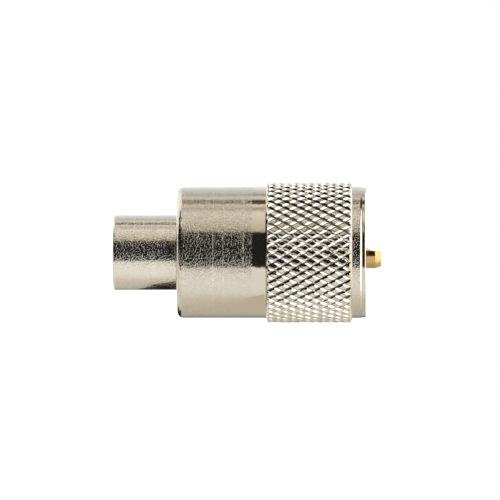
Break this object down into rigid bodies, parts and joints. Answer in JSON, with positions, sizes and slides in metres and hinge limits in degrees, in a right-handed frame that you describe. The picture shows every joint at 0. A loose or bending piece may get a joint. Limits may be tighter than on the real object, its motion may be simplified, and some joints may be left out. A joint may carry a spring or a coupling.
{
  "type": "uhf connector",
  "caption": "Male coaxial cable plug with a turned body, a knurled screw-on coupling ring that spins, an insulator and a hollow cut-open centre pin.",
  "frame": {"origin": "centre of the tail's end face, on the plug's axis, where the plug stands on its cable end", "axes": "+Z along the plug's axis, from the cable end towards the pin; the pin's cut-open side faces -X"},
  "size_m": [0.018, 0.018, 0.0344],
  "materials": {
    "nickel_body": "nickel plated, satin",
    "nickel_ring": "nickel plated, polished over turned and knurled brass",
    "white_insulator": "matt, moulded",
    "gold_contact": "gold plated, polished"
  },
  "bodies": {
    "plug_body": {"connector_body": "nickel_body", "insulator": "white_insulator", "center_contact": "gold_contact"},
    "coupling_ring": {"coupling_ring": "nickel_ring"}
  },
  "joints": [
    {"name": "ring_spin", "type": "hinge", "parent": "plug_body", "child": "coupling_ring", "pos_m": [0, 0, 0.0202], "axis": [0, 0, 1], "continuous": true}
  ]
}
